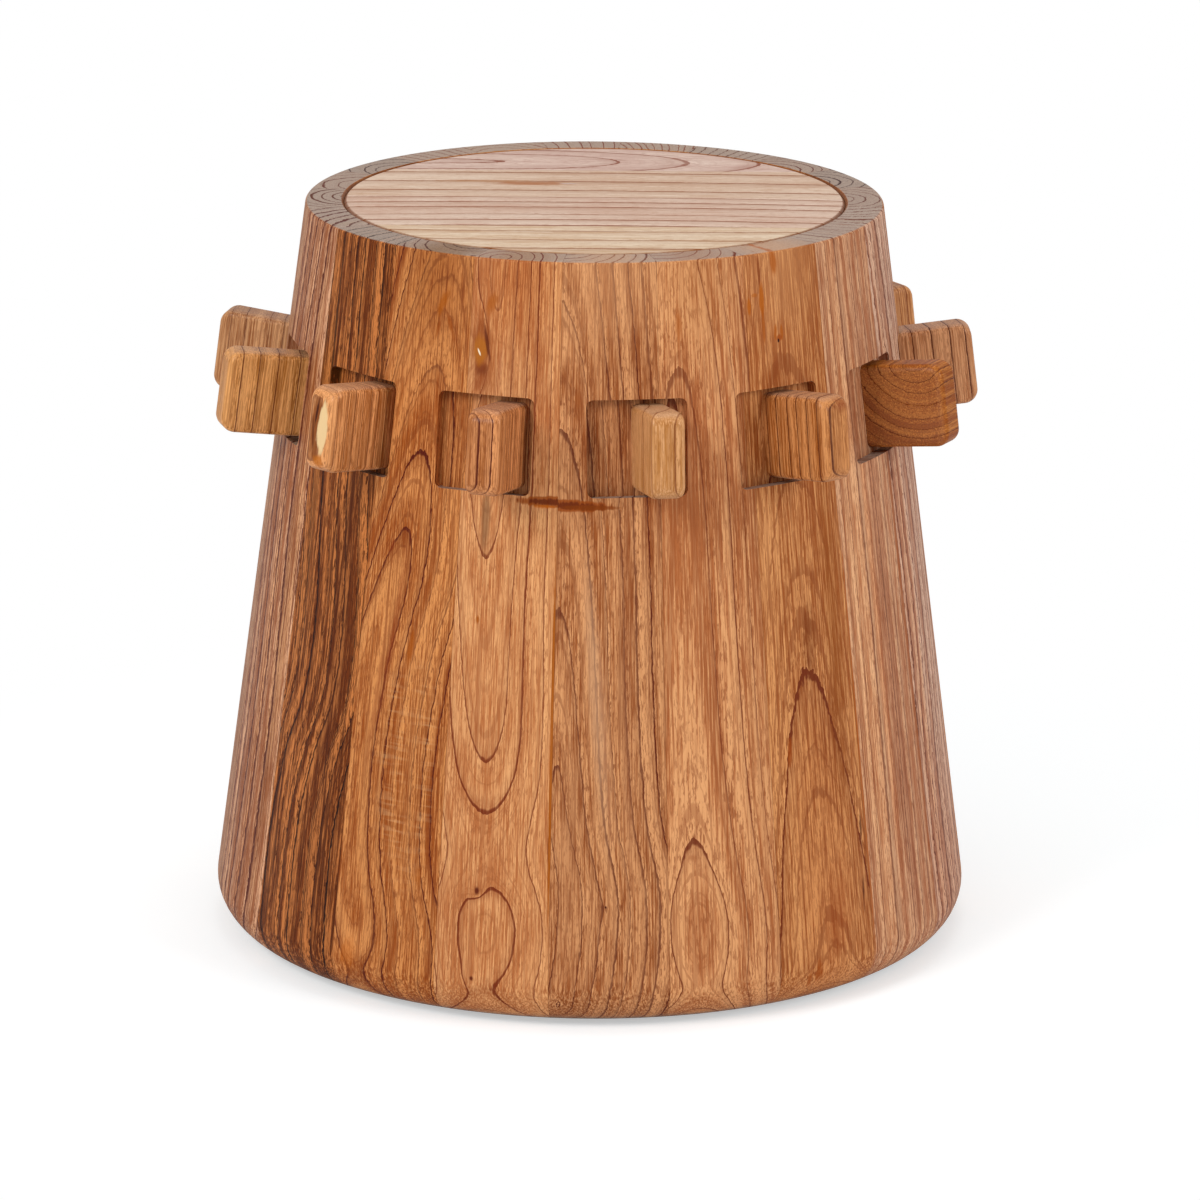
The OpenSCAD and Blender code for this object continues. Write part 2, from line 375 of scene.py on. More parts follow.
def stave_finish(name, middle, half_sweep, look):
    """The stave's own wood on its face, and end grain on the rim and the foot."""
    mat = bpy.data.materials.new(name)
    b = bare(mat)
    look = dict(line=1.3, bold=0.9, pores=0.6, streaks=0.5) | look
    coords = b.add("ShaderNodeTexCoord", out=None).outputs
    turned = b.add("ShaderNodeMapping", coords["Object"], None, (0, 0, -middle))
    place, to_joint, radius = use(b, DRUM, Vector=turned, Half_Sweep=half_sweep)
    up = b.split(place)[2]
    swell = 0.0
    for across, height, half_w, half_l, push in look.get("knots", ()):
        near = mark_at(b, place, across, height, half_w, half_l)[1]
        swell = b.math("MULTIPLY_ADD", near, push / 1000, swell)
    end = use(b, END_GRAIN, Normal=coords["Normal"], Grain=(0, 0, 1), Start=0.72, Full=0.97, Most=1.0)[0]
    wood = sawn(b, look, place, end, along(b, up, look["across"], -200, 200),
                along(b, up, look["depth"], 0, 200), swell)
    colour = add_marks(b, place, wood[0], look.get("washes", ()), "MULTIPLY")
    colour = add_marks(b, place, colour, look.get("marks", ()))
    if "ripple" in look:
        mask = mark_at(b, place, *look["ripple"], Ragged=0.4, Soft=0.6)[0]
        shade = use(b, RIPPLE, Vector=place, Mask=mask)[0]
        for side, tone in ((1.0, "efc08a"), (-1.0, "86491f")):
            lit = b.math("MAXIMUM", b.times(shade, side), 0.0)
            colour = b.tint(b.times(lit, 0.22), colour, rgb(tone))
    # Glue in the joints, painted shade in the groove of the rim, and a painted contact shadow on the foot's
    # lowest rounding, just above the floor.
    facing = b.split(coords["Normal"])[2]
    to_groove = b.math("ABSOLUTE", b.less(radius, RIM_R - RIM_W))
    on_top, off_flat = b.ramp(facing, 0.3, 0.6), b.ramp(facing, -0.995, -0.975)
    for distance, dark_to, gone_at, share, tone in (
            (to_joint, 0.00005, 0.0004, 0.4, "6b3a1c"),
            # Painted shade in the V groove between the rim and the seat.
            (to_groove, 0.0008, 0.0017, b.times(on_top, 0.8), "74401f"),
            # A painted contact shadow: near-black on the foot's lowest rounding, but not on its flat bottom.
            (up, UNDER + 0.0011, UNDER + 0.0032, b.times(off_flat, 0.92), "1e0c04")):
        colour = use(b, DARK_LINE, Color=colour, Distance=distance, Dark_To=dark_to, Gone_At=gone_at,
                     Share=share, Tone=rgb(tone))[0]
    oiled(b, colour, wood[1], wood[2])
    return mat


# Every stave as it is seen. tones: pale, deep and ring line. across and depth: the path of the
# pith beside and behind the face, in mm from the middle of the face, by height in mm. knots:
# (across, up, half width, half length, push on the rings), in mm. marks: (across, up, half
# width, half length, slant, ragged, soft, share, colour). washes: the same, but the last item
# is what they let through of red, green and blue. line is a ring line's width and wander its
# waver, in mm.
LOOKS = {
    20: dict(tones=("e8b088", "a4643f", "58230c"), ring=9.5, wander=3.5, seed=3.1, bold=1.25, line=2.6,
             across=[(0, 60), (150, 66), (300, 60), (450, 70)], depth=[(0, 60)], streaks=1.8,
             washes=[(23, 225, 12, 300, 0, 0.6, 0.7, 1, (0.92, 0.85, 0.70)),
                     (2, 225, 10, 300, 0, 0.6, 0.7, 1, (1.0, 0.95, 0.84))]),
    1: dict(tones=("ca7c44", "6e3612", "240a02"), ring=9.0, wander=2.0, seed=7.3, bold=1.0, line=1.2,
            across=[(0, 96), (90, 92), (135, 98), (185, 112), (320, 104), (450, 100)], depth=[(0, 26)],
            streaks=1.6, pores=0.8,
            marks=[(14, 200, 13, 260, 0, 0.7, 0.95, 0.4, "55290f"),
                   (-24, 330, 7, 150, 0, 0.8, 0.9, 0.3, "b0703c")]),
    2: dict(tones=("dc9458", "9c5226", "541e08"), ring=8.5, wander=1.8, seed=11.2, bold=0.9,
            across=[(0, -18), (40, -18), (100, -30), (200, -26), (270, -8), (340, 3), (450, 14)],
            depth=[(0, 30), (40, 14), (100, 10), (250, 14), (340, 26), (450, 42)], streaks=1.0,
            ripple=(8, 150, 26, 85), washes=[(4, 440, 46, 80, 0, 0.8, 0.95, 1, (0.66, 0.55, 0.42))],
            marks=[(-8, 225, 3.5, 75, 0.1, 1.3, 0.85, 0.5, "88390f"),
                   (-16, 190, 3, 60, 0.08, 1.3, 0.85, 0.4, "88390f"),
                   (11, 422, 4.2, 10, 0.3, 1.4, 0.7, 0.8, "a4560f"),
                   (17, 410, 2.2, 11, -0.45, 1.4, 0.7, 0.75, "94480f"),
                   (8, 405, 1.6, 8, 0.2, 1.3, 0.7, 0.65, "94480f"),
                   (5, 218, 2.8, 14, 0.1, 1.5, 0.7, 0.65, "a4540f"),
                   (20, 88, 3, 10, 0, 1.5, 0.8, 0.55, "a4540f"),
                   (-14, 276, 2.5, 7, 0.3, 1.2, 0.8, 0.6, "8a3c14"),
                   (-22, 30, 9, 16, 0, 1.0, 0.8, 0.45, "c46a24")]),
    3: dict(tones=("e8aa73", "b87143", "702c0e"), ring=8.0, wander=1.0, seed=5.4, bold=0.95,
            across=[(0, -3), (60, -2.5), (118, -5), (160, -7), (268, -12.5), (450, -14)],
            depth=[(0, 38), (18, 32), (60, 26), (105, 33), (118, 32), (160, 24), (268, 16), (330, 9),
                   (450, 4)], streaks=0.8, pores=0.5,
            washes=[(0, 440, 44, 70, 0, 0.8, 0.95, 1, (0.86, 0.72, 0.58))],
            knots=[(-9, 82, 4, 5, 2.5), (-10, 30, 4, 5, -2.0), (-22, 396, 8, 20, 11)],
            marks=[(-14, 300, 4.2, 27, 0, 0.6, 0.75, 0.7, "7e583c"),
                   (-20, 392, 12, 30, 0.05, 1.3, 0.9, 0.35, "9a5026"),
                   (-21.5, 381, 9.5, 15, 0, 1.1, 0.7, 0.6, "8c4424"),
                   (-21.5, 386, 6.5, 5.5, 0, 1.2, 0.8, 0.55, "5c2410"),
                   (-22.6, 400, 9, 20, 0, 0.9, 0.6, 0.65, "8a4420"),
                   (-23, 397, 5.8, 11, 0, 0.8, 0.5, 0.8, "b06826"),
                   (-18.8, 401.5, 1.7, 15, -0.25, 0.8, 0.6, 0.75, "54200c"),
                   # A painted highlight: a small glint on the knot's amber middle.
                   (-24, 395.6, 0.8, 2.6, -0.5, 0.6, 0.5, 0.95, "f6e4c8"),
                   (-17, 424, 5, 9, 0.2, 1.6, 0.8, 0.7, "a85a20"),
                   (-9, 388, 3, 24, 0.1, 1.4, 0.9, 0.4, "8e4630"),
                   (-9, 82, 1.9, 3.4, 0, 0.8, 0.7, 0.95, "5c240e"),
                   (-10, 30, 1.5, 2.2, 0, 0.8, 0.7, 0.95, "5c240e"),
                   (-16, 241, 1.4, 3.4, 0, 0.9, 0.7, 0.85, "a2541a"),
                   (30, 312, 28, 3.8, 0, 0.7, 0.25, 0.85, "9c4c1a"),
                   (30, 312, 26, 2.4, 0, 2.2, 0.5, 0.8, "642a0c"),
                   (22, 309, 9, 1.2, 0, 1.4, 0.5, 0.6, "c8681e"),
                   (30.3, 170, 1.2, 130, 0, 0.5, 0.4, 0.9, "a2560f")]),
    4: dict(tones=("da9c6a", "98562f", "561f0a"), ring=8.2, wander=1.5, seed=14.6, bold=0.85,
            across=[(0, -30), (78, -21), (130, -28), (300, -30), (450, -34)],
            depth=[(0, 4), (78, 4), (150, 7), (230, 14), (277, 18), (450, 34)], streaks=0.9, pores=0.6,
            knots=[(-2, 76, 4, 8, -2)],
            marks=[(-7, 195, 7, 110, -0.08, 0.5, 0.8, 0.45, "d3a37b"),
                   (-22, 110, 8, 120, 0, 0.6, 0.9, 0.35, "9a6240"),
                   (10, 190, 5, 170, 0, 0.6, 0.9, 0.35, "935a3c"),
                   (-2, 76, 0.9, 1.2, 0, 0.4, 0.8, 1, "4a1f0e"),
                   (-32, 310, 36, 4.2, 0, 0.7, 0.25, 0.85, "9a4a1a"),
                   (-32, 310, 34, 2.8, 0, 2.2, 0.5, 0.8, "682c0c"),
                   (-12, 309, 22, 1.8, 0, 0.9, 0.4, 0.8, "84401a"),
                   (0, 442, 46, 60, 0, 0.7, 0.95, 0.3, "dfa474")]),
    5: dict(tones=("e2a470", "ac663c", "6a2a10"), ring=8.6, wander=0.9, seed=9.7, bold=0.9,
            across=[(0, -14), (60, -14.7), (150, -17), (300, -18), (450, -20)],
            depth=[(0, 26), (17, 24.4), (60, 19.7), (102, 24.4), (150, 27.5), (220, 29.5), (350, 32),
                   (395, 34.4), (450, 40)], streaks=0.85, pores=0.6,
            marks=[(-17.5, 413, 3.5, 14, 0, 1.0, 0.8, 0.55, "b0602a"),
                   (-17.5, 103, 4, 3, 0, 1.0, 0.8, 0.45, "8e4422"),
                   (26, 120, 3, 130, 0, 0.8, 0.9, 0.3, "9a5630"),
                   (0, 436, 44, 70, 0, 0.8, 0.95, 0.3, "a0602f"),
                   (22, 240, 1.2, 230, 0.02, 0.9, 0.7, 0.45, "8c4822"),
                   (30, 260, 1.0, 200, 0, 0.9, 0.7, 0.4, "8c4822")]),
    6: dict(tones=("dc9a62", "9c562c", "6e2e10"), ring=60.0, wander=2.0, seed=21.9, bold=1.1, line=1.4,
            across=[(0, 0), (60, 0.5), (208, -2.6), (450, -3)],
            depth=[(0, 46.5), (50, 51), (100, 54), (150, 58), (180, 60), (200, 61.5), (300, 68), (450, 80)],
            streaks=1.1, pores=0.6, washes=[(0, 95, 24, 110, 0, 0.6, 0.5, 1, (0.93, 0.86, 0.80))],
            marks=[(0, 224, 8, 32, 0, 1.3, 0.95, 0.65, "783a18"),
                   (-1, 206, 2.4, 12, 0, 1.2, 0.9, 0.5, "70320f"),
                   (20, 220, 11, 150, 0.02, 0.9, 0.95, 0.5, "8e4c1e"),
                   (6, 55, 14, 42, 0.1, 1.4, 0.95, 0.5, "984a22"),
                   (0, 445, 46, 75, 0, 0.7, 0.95, 0.3, "dba06c"),
                   (-19.3, 423, 2.4, 12, 0, 1.0, 0.4, 0.9, "ae5c14"),
                   (-19, 408, 1.5, 13, 0, 1.2, 0.5, 0.8, "a2520f"),
                   (-20.3, 440, 1.3, 12, 0, 1.0, 0.5, 0.8, "7e3a0f"),
                   (-29.3, 420, 1.7, 7, 0, 1.0, 0.5, 0.85, "ae5c14"),
                   (-25, 426, 3.4, 1.6, 0, 1.0, 0.5, 0.6, "ae5c14"),
                   (-8, 445, 3.6, 10, -0.1, 1.3, 0.6, 0.75, "a8561a"),
                   (-9.6, 403, 1.5, 6, 0.1, 1.1, 0.5, 0.8, "a8561a"),
                   (-4.6, 403, 1.6, 5.5, 0, 1.1, 0.5, 0.8, "a8561a"),
                   (-7, 399.5, 3, 2.6, 0, 1.1, 0.5, 0.8, "9c4a12"),
                   (-7.6, 398, 1.2, 1.6, 0, 0.5, 0.6, 1, "38140a"),
                   (-19, 158, 2.4, 10, 0.1, 1.4, 0.6, 0.75, "9c4a18"),
                   (-8, 24, 3.4, 10, 0, 1.6, 0.7, 0.8, "9c4c10"),
                   (-14, 20, 1.6, 6, 0, 1.6, 0.7, 0.7, "9c4c10"),
                   (27, 62, 1.0, 13, 0.05, 1.9, 0.6, 0.8, "4e2412"),
                   (29, 103, 1.0, 11, 0.05, 1.9, 0.6, 0.8, "4e2412")]),
    7: dict(tones=("dfab83", "ac6c48", "602812"), ring=9.0, wander=1.4, seed=2.2, bold=0.7, line=1.0,
            across=[(0, 150), (225, 153), (450, 150)], depth=[(0, 50)], streaks=1.1, pores=0.55,
            washes=[(7.5, 225, 8, 300, 0, 0.7, 0.6, 1, (0.72, 0.58, 0.52)),
                    (-19, 225, 14, 300, 0, 0.6, 0.6, 1, (1.18, 1.18, 1.10)),
                    (-3.5, 225, 5, 300, 0, 0.6, 0.7, 1, (1.04, 0.93, 0.82))],
            marks=[(31.5, 225, 2.6, 260, 0, 0.9, 0.5, 0.8, "94490f"),
                   (-32.5, 150, 1.2, 170, 0, 0.6, 0.4, 0.85, "a4540f")]),
    8: dict(tones=("e6bca0", "b67e60", "6c3622"), ring=9.0, wander=4.5, seed=6.6, bold=1.1, line=2.2,
            across=[(0, 90), (100, 88), (220, 95), (450, 84)], depth=[(0, 50)], streaks=2.2, pores=0.5,
            washes=[(0, 40, 70, 130, 0, 0.8, 0.95, 1, (0.92, 0.80, 0.72)),
                    (-21, 225, 13, 300, 0, 0.6, 0.7, 1, (0.98, 0.84, 0.70))]),
}

# The staves behind, which the photograph doesn't show, are cut from any part of the log.
rand = random.Random(31)
PALETTES = [("d69a66", "b07042", "74320f"), ("cc9874", "a06a48", "5c2c16"), ("b0703e", "824a26", "3c1608"),
            ("dfa870", "ba7c48", "7c3812"), ("ce8a50", "a46232", "60280a")]
for n in range(9, 20):
    flat = rand.random() < 0.5
    bow = rand.uniform(8, 16)
    LOOKS[n] = dict(
        tones=PALETTES[(n * 2 + n // 5) % 5], ring=rand.uniform(5.5, 10), wander=rand.uniform(1.2, 2.6),
        seed=30.0 + n * 1.7, bold=rand.uniform(0.7, 0.95), streaks=rand.uniform(0.4, 0.9),
        across=[(0, rand.uniform(-12, 12)), (225, rand.uniform(-12, 12)), (450, rand.uniform(-12, 12))]
        if flat else [(0, rand.uniform(70, 130)), (225, 100), (450, rand.uniform(80, 110))],
        depth=[(0, bow), (120, bow + rand.uniform(2, 10)), (300, bow + rand.uniform(8, 22)), (450, bow + 30)]
        if flat else [(0, rand.uniform(20, 60))])


def shape_tree(name, inputs):
    """A Geometry Nodes tree with named sizes, ready for its nodes."""
    tree = bpy.data.node_groups.new(name, "GeometryNodeTree")
    tree.interface.new_socket("Geometry", in_out="OUTPUT", socket_type="NodeSocketGeometry")
    keys = {}
    for label, kind in inputs.items():
        socket = tree.interface.new_socket(label, in_out="INPUT", socket_type="NodeSocket" + kind)
        keys[label] = socket.identifier
    b = Bench(tree)
    sockets = b.add("NodeGroupInput", out=None).outputs
    return b, {label: sockets[i] for i, label in enumerate(inputs)}, b.add("NodeGroupOutput", out=None), keys


def shade_and_dress(b, mesh, material, out):
    """Smooth faces with crisp edges, then the material: how a finished piece's tree ends."""
    smooth = b.add("GeometryNodeSetShadeSmooth", mesh, True, True)
    angle = b.add("GeometryNodeInputMeshEdgeAngle")
    sharp = b.add("FunctionNodeCompare", angle, math.radians(30), data_type="FLOAT", operation="GREATER_THAN")
    crisp = b.add("GeometryNodeSetShadeSmooth", smooth, sharp, False, domain="EDGE")
    dressed = b.add("GeometryNodeSetMaterial", b.add("GeometryNodeRealizeInstances", crisp), True, material)
    b.put(out.inputs[0], dressed)


def swept(b, width, height, corner, count, start, end):
    """A rectangle with round corners, drawn out along z."""
    sheet = b.add("GeometryNodeCurvePrimitiveQuadrilateral", width, height)
    outline = b.add("GeometryNodeFilletCurve", sheet, count, corner, True, mode="POLY")
    rail = b.add("GeometryNodeCurvePrimitiveLine", b.xyz(0, 0, start), b.xyz(0, 0, end))
    return b.add("GeometryNodeCurveToMesh", rail, outline, 1.0, True)


def laid_in(b, solid):
    """Turns what was drawn out along z into the wood, along y."""
    return b.add("GeometryNodeTransform", solid, (0, 0, 0), Euler((-math.pi / 2, 0, 0)))


def set_by_hand(b, solid, aside, turn):
    """Moves a block, its tenon or its mortise to where the block is glued in."""
    spin = b.add("FunctionNodeEulerToRotation", b.xyz(0, 0, turn))
    return b.add("GeometryNodeTransform", solid, b.xyz(aside, 0, 0), spin)


def joined(b, *solids):
    """Makes one solid of those that touch or overlap."""
    both = b.add("GeometryNodeMeshBoolean", out=None, operation="UNION", solver="EXACT")
    for solid in solids:
        b.tree.links.new(solid, both.inputs["Mesh 2"])
    return both.outputs[0]


def plain_piece(name, mesh):
    """A piece at the origin, unturned, with its place in its mesh."""
    piece = bpy.data.objects.new(name, mesh)
    bpy.context.scene.collection.objects.link(piece)
    return piece


def add_form(host, tree, keys, values):
    """Puts a tree on a host, with its sizes set."""
    form = host.modifiers.new("form", "NODES")
    form.node_group = tree
    for label, value in values.items():
        form[keys[label]] = value


def plain_mesh(host, name):
    """The plain mesh that a host's modifiers make. The host has done its work and goes."""
    host.update_tag()
    mesh = bpy.data.meshes.new_from_object(host.evaluated_get(bpy.context.evaluated_depsgraph_get()))
    mesh.name = name
    host.modifiers.clear()
    bpy.data.objects.remove(host)
    return mesh


def cutter_tree():
    """The router's cut for one block: the recess with round corners, and the mortise."""
    b, size, out, keys = shape_tree("recess cut", {
        "Width": "Float", "Height": "Float", "Depth": "Float", "Corner": "Float", "Above": "Float",
        "Mortise Width": "Float", "Mortise Height": "Float", "Mortise Depth": "Float",
        "Aside": "Float", "Turn": "Float", "Material": "Material"})
    recess = laid_in(b, swept(b, size["Width"], size["Height"], size["Corner"], 6,
                              size["Depth"], b.times(size["Above"], -1.0)))
    mortise = laid_in(b, swept(b, size["Mortise Width"], size["Mortise Height"],
                               b.times(size["Mortise Width"], ROUND_END), 8,
                               size["Mortise Depth"], b.times(size["Depth"], 0.5)))
    moved = set_by_hand(b, mortise, size["Aside"], size["Turn"])
    shade_and_dress(b, joined(b, moved, recess), size["Material"], out)
    return b.tree, keys


def stave_tree():
    """A stave: its section is drawn out straight, bent round the axis between two joints,
    and cut by the router."""
    b, size, out, keys = shape_tree("stave", {
        "Section": "Geometry", "From": "Float", "To": "Float", "Steps": "Int", "Cuts": "Object",
        "Material": "Material"})
    rail = b.add("GeometryNodeResampleCurve",
                 b.add("GeometryNodeCurvePrimitiveLine", (0, 0, 0), (0, 0, 1)), True, size["Steps"])
    drawn = b.add("GeometryNodeCurveToMesh", rail, size["Section"], 1.0, True)
    out_r, height, share = b.split(b.add("GeometryNodeInputPosition"))
    turn = b.add("ShaderNodeMapRange", share, 0.0, 1.0, size["From"], size["To"])
    bent = b.add("GeometryNodeSetPosition", drawn, True, b.xyz(
        b.times(out_r, b.math("SINE", turn)), b.times(b.times(out_r, b.math("COSINE", turn)), -1.0), height))
    cuts = b.add("GeometryNodeObjectInfo", size["Cuts"], out=None).outputs["Geometry"]
    cut = b.add("GeometryNodeMeshBoolean", bent, cuts, operation="DIFFERENCE", solver="EXACT")
    shade_and_dress(b, cut, size["Material"], out)
    return b.tree, keys


def stave_section():
    """Half of the drum's upright section, as (radius, height) round a closed line."""
    def corner(height, size, low, high, steps):
        middle = side_r(height) - size / math.cos(LEAN)
        turns = [low + (high - low) * i / steps for i in range(steps + 1)]
        return [(middle + size * math.cos(t), height + size * math.sin(t)) for t in turns]
    ledge, base_top = SEAT_H - SEAT_T, UNDER + BASE_T
    well, base_well = RIM_R - RIM_W, side_r(base_top) - WALL + BASE_LIP
    foot = corner(UNDER + FOOT, FOOT, -math.pi / 2, LEAN, 14)
    rim = corner(SEAT_H - RIM_EDGE, RIM_EDGE, LEAN, math.pi / 2, 5)
    inside = [(well + GROOVE, SEAT_H), (well, SEAT_H - GROOVE), (well, ledge), (side_r(ledge) - WALL, ledge),
              (side_r(base_top) - WALL, base_top), (base_well, base_top), (base_well, UNDER)]
    return foot + rim + inside


def closed_line(name, points):
    """A section drawn as a closed line of straight stretches."""
    data = bpy.data.curves.new(name, "CURVE")
    data.dimensions = "3D"
    line = data.splines.new("POLY")
    line.points.add(len(points) - 1)
    for point, (x, y) in zip(line.points, points):
        point.co = (x, y, 0, 1)
    line.use_cyclic_u = True
    return data


cut_form, cut_keys = cutter_tree()
spare = bpy.data.materials.new("router cut")
cuts = bpy.data.meshes.new("recess cuts")
gather = bmesh.new()
for k in range(len(BLOCKS)):
    aside, turn = block_set(k)
    host = plain_piece("recess cut", bpy.data.meshes.new("recess cut"))
    add_form(host, cut_form, cut_keys, {
        "Width": RECESS_W, "Height": RECESS_H, "Depth": RECESS_D, "Corner": RECESS_CORNER, "Above": OVER_CUT,
        "Mortise Width": TENON_W + 2 * FIT, "Mortise Height": TENON_H + 2 * FIT,
        "Mortise Depth": RECESS_D + TENON_L + MORTISE_SPARE, "Aside": aside, "Turn": turn, "Material": spare})
    cut = plain_mesh(host, "recess cut")
    cut.transform(recess_place(k))
    gather.from_mesh(cut)
gather.to_mesh(cuts)
gather.free()
router = plain_piece("recess cuts", cuts)

stave_form, stave_keys = stave_tree()
for n in range(1, len(WIDTHS) + 1):
    name, start, end = f"wall_stave_{n:02d}", JOINTS[n - 1], JOINTS[n]
    host = plain_piece(name + ".form", closed_line("stave section", stave_section()))
    add_form(host, stave_form, stave_keys, {
        "From": start, "To": end, "Steps": 1 + round(math.degrees(end - start)), "Cuts": router,
        "Material": stave_finish(f"stave wood {n}", (start + end) / 2, (end - start) / 2, LOOKS[n])})
    piece = plain_piece(name, plain_mesh(host, name))
    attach(piece, "root")
    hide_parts(f"stave_{n:02d}")
bpy.data.objects.remove(router)

# --- Blocks --------------------------------------------------------------------------------
# Thirteen short blocks with a round nose and eased edges, sawn from the offcuts with their
# grain upright. Each has a tenon on its back, glued by hand into its recess, so no two stand
# quite alike.
BLOCK_W, BLOCK_H, BLOCK_OUT, BLOCK_NOSE, BLOCK_EDGE = 0.0205, 0.050, 0.044, 0.0085, 0.004
BLOCK_WASTE, TENON_ROOT = 0.02, 0.005


def blank_tree():
    """A block's outline seen from the side, with its round nose, sawn to width."""
    b, size, out, keys = shape_tree("block blank", {
        "Width": "Float", "Height": "Float", "Out": "Float", "Back": "Float", "Nose": "Float",
        "Material": "Material"})
    sawn_off = swept(b, b.plus(size["Out"], size["Back"]), size["Height"], size["Nose"], 9,
                     b.times(size["Width"], -0.5), b.times(size["Width"], 0.5))
    inward, upward, sideways = b.split(b.add("GeometryNodeInputPosition"))
    middle = b.times(b.less(size["Back"], size["Out"]), 0.5)
    stood = b.add("GeometryNodeSetPosition", sawn_off, True, b.xyz(sideways, b.plus(inward, middle), upward))
    whole = b.add("GeometryNodeRealizeInstances", stood)
    b.put(out.inputs[0], b.add("GeometryNodeSetMaterial", whole, True, size["Material"]))
    return b.tree, keys


def seat_tree():
    """Trims the back of a block to the floor of its recess and leaves the tenon on it."""
    b, size, out, keys = shape_tree("block seat", {
        "Blank": "Geometry", "Floor": "Float", "Tenon Width": "Float", "Tenon Height": "Float",
        "Tenon Length": "Float", "Aside": "Float", "Turn": "Float", "Material": "Material"})
    set_in = set_by_hand(b, size["Blank"], size["Aside"], size["Turn"])
    wide, deep = 0.3, 0.2
    slab = b.add("GeometryNodeMeshCube", (wide, deep, wide))
    behind = b.add("GeometryNodeTransform", slab, b.xyz(0, b.plus(size["Floor"], deep / 2), 0))
    trimmed = b.add("GeometryNodeMeshBoolean", set_in, behind, operation="DIFFERENCE", solver="EXACT")
    tenon = laid_in(b, swept(b, size["Tenon Width"], size["Tenon Height"],
                             b.times(size["Tenon Width"], ROUND_END), 8,
                             b.plus(size["Floor"], size["Tenon Length"]), b.less(size["Floor"], TENON_ROOT)))
    tenon = set_by_hand(b, tenon, size["Aside"], size["Turn"])
    shade_and_dress(b, joined(b, tenon, trimmed), size["Material"], out)
    return b.tree, keys


def make_painted_edge_highlight():
    """A painted highlight on the eased edges, which face neither straight out nor to a side."""
    b, (normal, outward), out = group("painted edge highlight", {"Normal": "Vector", "Outward": "Vector"},
                                      {"Mask": "Float"})
    facing = b.dot(normal, outward)
    b.put(out.inputs[0], b.times(b.ramp(facing, 0.15, 0.55), b.ramp(facing, 0.80, 0.98, 1.0, 0.0)))
    return b.tree


PAINTED_EDGE_HIGHLIGHT = make_painted_edge_highlight()


def block_finish(name, place, look):
    """The block's own piece of wood, with its rings seen on the nose and the sides."""
    mat = bpy.data.materials.new(name)
    b = bare(mat)
    look = dict(wander=0.55, line=1.6, bold=1.3, pores=0.45, streaks=0.9, end=0.3, edge_highlight_share=0.22) | look
    coords = b.add("ShaderNodeTexCoord", out=None).outputs
    outward = place.to_3x3() @ Vector((0, -1, 0))
    if look.get("lying"):
        place = place @ Matrix(((0, 0, 1, 0), (1, 0, 0, 0), (0, 1, 0, 0), (0, 0, 0, 1)))
    at = b.add("ShaderNodeMapping", coords["Object"], place.to_translation(), place.to_euler(), (1, 1, 1),
               vector_type="TEXTURE")
    # A painted highlight: the eased edges are lightened towards the block's pale tone.
    edge_highlight = use(b, PAINTED_EDGE_HIGHLIGHT, Normal=coords["Normal"], Outward=outward)[0]
    end = use(b, END_GRAIN, Normal=coords["Normal"], Grain=place.to_3x3() @ Vector((0, 0, 1)),
              Start=0.55, Full=0.95, Most=look["end"])[0]
    across, depth = look["pith"]
    wood = sawn(b, look, at, end, across / 1000, depth / 1000)
    colour = b.tint(b.times(edge_highlight, look["edge_highlight_share"]), wood[0], rgb(look["tones"][0]))
    colour = add_marks(b, at, colour, look.get("marks", ()))
    oiled(b, colour, wood[1], wood[2], 0.16)
    return mat


# Each block as it is seen: its tones, ring width and seed, and where its pith lies beside and
# behind the middle of its nose, in mm. One is cut with its grain lying. The share of the painted
# edge highlight is how far its eased edges are lightened towards its pale tone.
BLOCK_LOOKS = {
    1: dict(tones=("dca472", "b47840", "74380f"), ring=12, seed=4.4, pith=(-60, 10), line=1.3, bold=0.9,
            streaks=0.25),
    2: dict(tones=("d6925a", "985426", "481a08"), ring=8.6, seed=8.1, pith=(30, -160), line=2.6,
            streaks=0.6,
            marks=[(4, 19, 8, 6, 0, 1.0, 0.8, 0.6, "8c4628"),
                   (10, 0, 2.5, 24, 0, 0.9, 0.7, 0.5, "8c4628")]),
    3: dict(tones=("c07838", "944e20", "4e200c"), ring=7.0, seed=1.9, pith=(-28, 36), wander=2.6, line=1.1,
            bold=0.85, lying=True, end=0.1, edge_highlight_share=0.1),
    4: dict(tones=("dca072", "a86840", "54240e"), ring=10, seed=12.3, pith=(30, -170), line=2.0, wander=1.1,
            shift=0.35),
    10: dict(tones=("d8a272", "9e643c", "54240e"), ring=11, seed=3.3, pith=(-20, 170), bold=1.0),
    11: dict(tones=("eaa868", "a86a32", "521f08"), ring=11, seed=6.9, pith=(30, 150), line=1.8),
    12: dict(tones=("eca66c", "a86434", "5a260e"), ring=6.6, seed=2.7, pith=(-6, -90), wander=0.9, line=1.5,
             bold=0.9, streaks=0.9,
             marks=[(-1, 1, 7, 21, 0.05, 1.1, 0.35, 0.8, "84461f"),
                    (2.4, 2, 4.4, 18, 0.06, 0.9, 0.3, 0.95, "ecca96"),
                    (1, -19, 4.4, 5, 0, 0.9, 0.6, 0.8, "bc6a1e"),
                    (-3, 9, 1.2, 10, 0.1, 1.2, 0.5, 0.85, "3c1c0c"),
                    (-4.5, -4, 0.8, 12, -0.1, 1.2, 0.5, 0.7, "53280f")]),
    13: dict(tones=("e29a64", "9e5c30", "54200c"), ring=5.4, seed=5.2, pith=(-26, -80), line=1.6,
             wander=0.8, bold=1.0, streaks=0.8),
}
for k in range(1, len(BLOCKS) + 1):
    if k not in BLOCK_LOOKS:
        BLOCK_LOOKS[k] = dict(tones=PALETTES[k % 5], ring=rand.uniform(5, 11), seed=50.0 + k * 1.3,
                              pith=(rand.uniform(-60, 60), rand.choice((-1, 1)) * rand.uniform(90, 170)))

